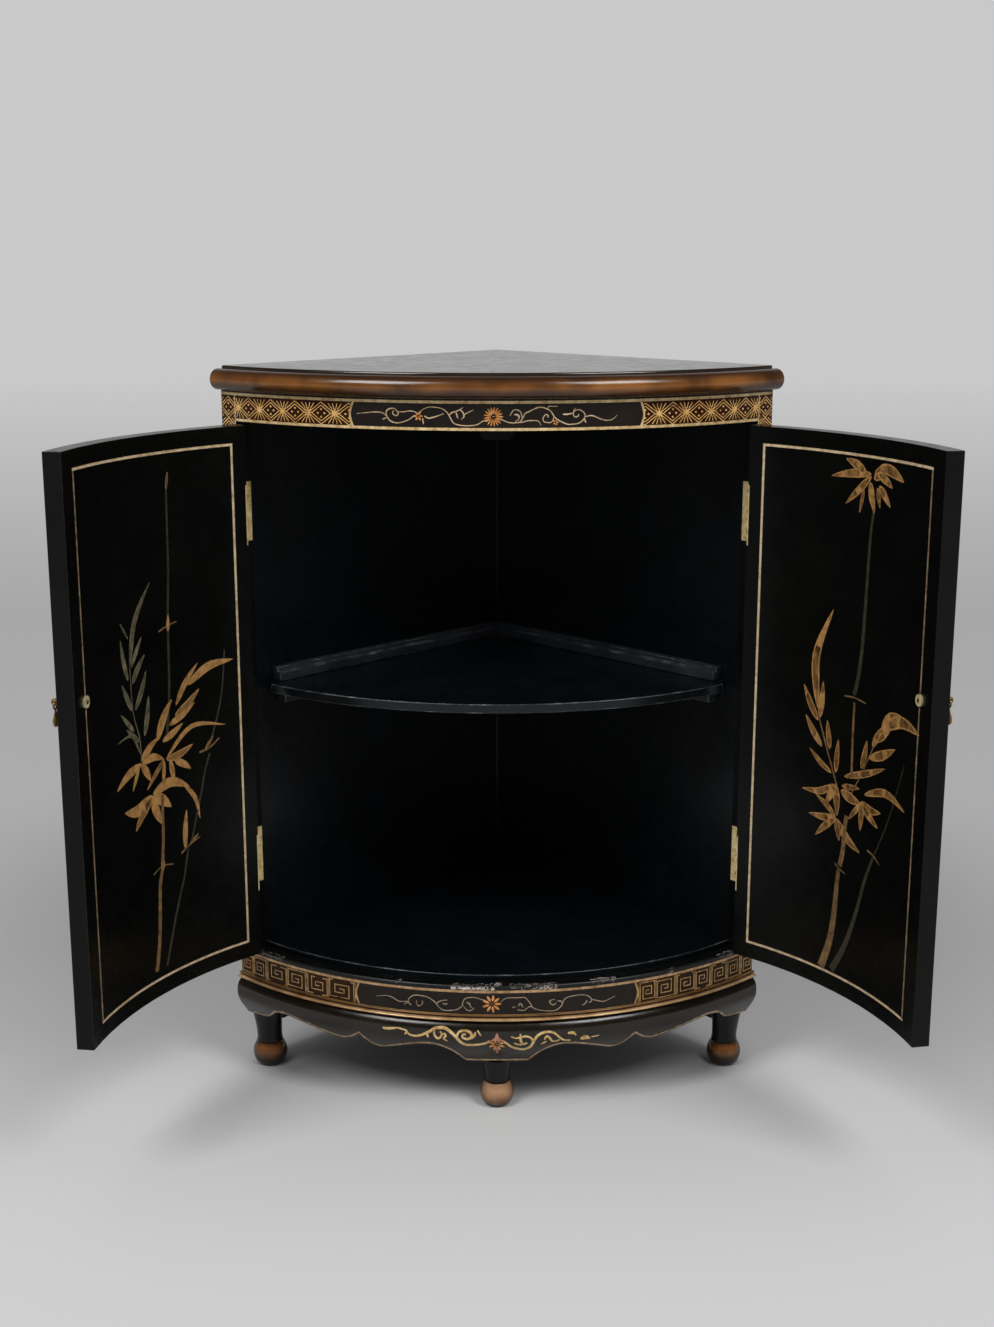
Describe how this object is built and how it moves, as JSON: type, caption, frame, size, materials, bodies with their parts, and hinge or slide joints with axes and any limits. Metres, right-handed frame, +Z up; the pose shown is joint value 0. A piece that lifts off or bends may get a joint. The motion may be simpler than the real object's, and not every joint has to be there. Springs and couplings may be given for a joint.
{
  "type": "corner cupboard",
  "caption": "Quarter-round lacquered corner cupboard on ball feet, with bowed doors that swing open and an inside shelf.",
  "frame": {"origin": "middle of the rear foot's sole, on the floor, near the corner of the room", "axes": "+Z up, -Y towards the front of the cupboard, +X to the right as seen from the front; the room's two walls run at 45 degrees to X and Y"},
  "size_m": [0.8665, 0.5775, 0.8],
  "materials": {
    "black_lacquer": "polished black lacquer on wood",
    "top_lacquer": "polished brown-black lacquer on wood",
    "tortoise_lacquer": "mottled tortoiseshell-coloured lacquer on wood",
    "gilt_lacquer": "black lacquer with painted gold fret and diaper work",
    "copper_lacquer": "copper-gold painted wood",
    "brass": "aged satin brass"
  },
  "bodies": {
    "carcass": {"top_board": "top_lacquer", "top_moulding": "tortoise_lacquer", "frieze_rail": "gilt_lacquer", "bottom_rail": "gilt_lacquer", "base_bead": "gilt_lacquer", "apron": "black_lacquer", "floor_board": "black_lacquer", "shelf": "black_lacquer", "door_stop_block": "black_lacquer", "front_foot_block": "black_lacquer", "rear_foot_block": "black_lacquer", "front_foot": "copper_lacquer", "rear_foot": "copper_lacquer", "left_side_panel": "black_lacquer", "left_base_rail": "black_lacquer", "left_post": "black_lacquer", "left_shelf_batten": "black_lacquer", "left_shelf_cleat": "black_lacquer", "left_foot_block": "black_lacquer", "left_foot": "copper_lacquer", "left_upper_hinge_post_leaf": "brass", "left_upper_hinge_pin": "brass", "left_lower_hinge_post_leaf": "brass", "left_lower_hinge_pin": "brass", "right_side_panel": "black_lacquer", "right_base_rail": "black_lacquer", "right_post": "black_lacquer", "right_shelf_batten": "black_lacquer", "right_shelf_cleat": "black_lacquer", "right_foot_block": "black_lacquer", "right_foot": "copper_lacquer", "right_upper_hinge_post_leaf": "brass", "right_upper_hinge_pin": "brass", "right_lower_hinge_post_leaf": "brass", "right_lower_hinge_pin": "brass"},
    "left_door": {"left_door": "black_lacquer", "left_upper_hinge_door_leaf": "brass", "left_lower_hinge_door_leaf": "brass", "left_pull_rosette": "brass", "left_pull_eye_bolt": "brass", "left_pull_nut": "brass"},
    "left_drop": {"left_pull_drop": "brass"},
    "right_door": {"right_door": "black_lacquer", "right_upper_hinge_door_leaf": "brass", "right_lower_hinge_door_leaf": "brass", "right_pull_rosette": "brass", "right_pull_eye_bolt": "brass", "right_pull_nut": "brass"},
    "right_drop": {"right_pull_drop": "brass"}
  },
  "joints": [
    {"name": "left_door_hinge", "type": "hinge", "parent": "carcass", "child": "left_door", "pos_m": [-0.27821, -0.27513, 0.4448], "axis": [0, 0, 1], "range_deg": [-12.5, 97.5]},
    {"name": "right_door_hinge", "type": "hinge", "parent": "carcass", "child": "right_door", "pos_m": [0.27821, -0.27513, 0.4448], "axis": [0, 0, -1], "range_deg": [-9.5, 100.5]},
    {"name": "left_drop_swing", "type": "hinge", "parent": "left_door", "child": "left_drop", "pos_m": [-0.42345, -0.50982, 0.4975], "axis": [0.1919, 0.9814, 0], "range_deg": [-15, 85]},
    {"name": "right_drop_swing", "type": "hinge", "parent": "right_door", "child": "right_drop", "pos_m": [0.43553, -0.5019, 0.4975], "axis": [0.243, -0.97, 0], "range_deg": [-15, 85]}
  ]
}
